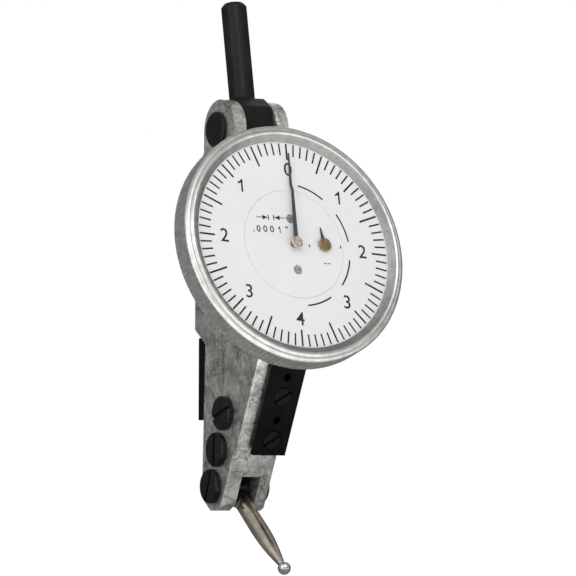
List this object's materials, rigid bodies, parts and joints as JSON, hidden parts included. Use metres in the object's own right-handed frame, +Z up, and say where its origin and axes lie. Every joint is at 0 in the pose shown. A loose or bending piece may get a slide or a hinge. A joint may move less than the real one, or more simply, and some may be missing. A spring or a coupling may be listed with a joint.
{
  "type": "dial test indicator",
  "caption": "Lever-type dial test indicator: tapered body, tilted round dial with turning bezel, ball-ended contact point, dovetails front and rear, swivelling stem.",
  "frame": {"origin": "middle of the outer face of the rear dovetail, the face that rests in a clamp", "axes": "+Y out of the rear dovetail (the dial faces -Y, tilted up 16.2 degrees), +Z up the body towards the stem, +X to the right as seen from the dial side's reader"},
  "size_m": [0.0378, 0.0298, 0.0883],
  "materials": {
    "satin_chrome": "satin, mottled",
    "bezel_chrome": "satin, knurled rim",
    "black_oxide": "black oxide",
    "dovetail_black": "black oxide, fine ground",
    "stylus_steel": "polished",
    "bright_steel": "polished",
    "blued_steel": "blued",
    "brass": "satin",
    "dull_brass": "tarnished",
    "dial_white": "matte, printed",
    "crystal_clear": "clear"
  },
  "bodies": {
    "case": {"body_frame": "satin_chrome", "front_dovetail": "dovetail_black", "front_dovetail_screw_1": "black_oxide", "front_dovetail_screw_2": "black_oxide", "rear_dovetail": "dovetail_black", "rear_dovetail_screw_1": "black_oxide", "rear_dovetail_screw_2": "black_oxide", "lever_pivot_screw_left": "black_oxide", "lever_pivot_screw_right": "black_oxide", "spring_anchor_screw_left": "black_oxide", "spring_anchor_screw_right": "black_oxide", "sector_pivot_screw_left": "black_oxide", "sector_pivot_screw_right": "black_oxide", "crown_bearing_screw_left": "brass", "crown_bearing_screw_right": "brass", "bezel_spring_ring": "bright_steel", "inner_dial": "dial_white", "dial_screw_upper": "bright_steel", "dial_screw_lower": "bright_steel", "movement_plate": "brass", "plate_screw_1": "bright_steel", "plate_screw_2": "bright_steel", "plate_screw_3": "bright_steel", "arbor_cock": "brass", "arbor_cock_screw": "bright_steel", "hairspring": "blued_steel", "hairspring_stud": "brass", "lever_spring": "blued_steel", "swivel_screw": "black_oxide", "swivel_nut": "black_oxide"},
    "bezel": {"bezel_ring": "bezel_chrome", "crystal": "crystal_clear", "dial_ring": "dial_white"},
    "hand": {"centre_arbor": "bright_steel", "main_hand": "blued_steel", "main_hand_hub": "brass", "hairspring_collet": "brass"},
    "counter": {"counter_wheel": "brass", "counter_hand": "blued_steel", "counter_hand_hub": "dull_brass"},
    "crown": {"crown_wheel": "brass", "cross_shaft": "bright_steel"},
    "sector": {"sector_lever": "brass"},
    "lever": {"contact_lever": "bright_steel", "lever_pin": "bright_steel"},
    "stylus": {"stylus_holder": "black_oxide", "contact_stylus": "stylus_steel", "contact_ball": "bright_steel"},
    "stem": {"stem_swivel": "black_oxide"}
  },
  "joints": [
    {"name": "bezel_turn", "type": "hinge", "parent": "case", "child": "bezel", "pos_m": [0, -0.02384, 0.01968], "axis": [0, -0.9603, 0.279], "continuous": true},
    {"name": "hand_turn", "type": "hinge", "parent": "case", "child": "hand", "pos_m": [0, -0.02384, 0.01968], "axis": [0, -0.9603, 0.279], "range_deg": [-360, 360], "stiffness_Nm_per_rad": 0.000001},
    {"name": "counter_turn", "type": "hinge", "parent": "case", "child": "counter", "pos_m": [0.00522, -0.02384, 0.01968], "axis": [0, -0.9603, 0.279], "range_deg": [-72, 72]},
    {"name": "crown_turn", "type": "hinge", "parent": "case", "child": "crown", "pos_m": [0, -0.01178, 0.01617], "axis": [1, 0, 0], "range_deg": [-90, 90]},
    {"name": "sector_turn", "type": "hinge", "parent": "case", "child": "sector", "pos_m": [0, -0.00995, -0.00549], "axis": [1, 0, 0], "range_deg": [-3.75, 3.75]},
    {"name": "lever_turn", "type": "hinge", "parent": "case", "child": "lever", "pos_m": [0, -0.00633, -0.01661], "axis": [1, 0, 0], "range_deg": [-0.61, 0.61]},
    {"name": "stylus_swing", "type": "hinge", "parent": "lever", "child": "stylus", "pos_m": [0, -0.00633, -0.01661], "axis": [1, 0, 0], "range_deg": [-42, 104]},
    {"name": "stem_swing", "type": "hinge", "parent": "case", "child": "stem", "pos_m": [0, -0.00913, 0.03796], "axis": [1, 0, 0], "range_deg": [-78, 85]}
  ],
  "couplings": [
    {"joint": "counter_turn", "follows": "hand_turn", "ratio": -0.2},
    {"joint": "crown_turn", "follows": "hand_turn", "ratio": 0.25},
    {"joint": "sector_turn", "follows": "hand_turn", "ratio": -0.010417},
    {"joint": "lever_turn", "follows": "hand_turn", "ratio": 0.0016779}
  ]
}
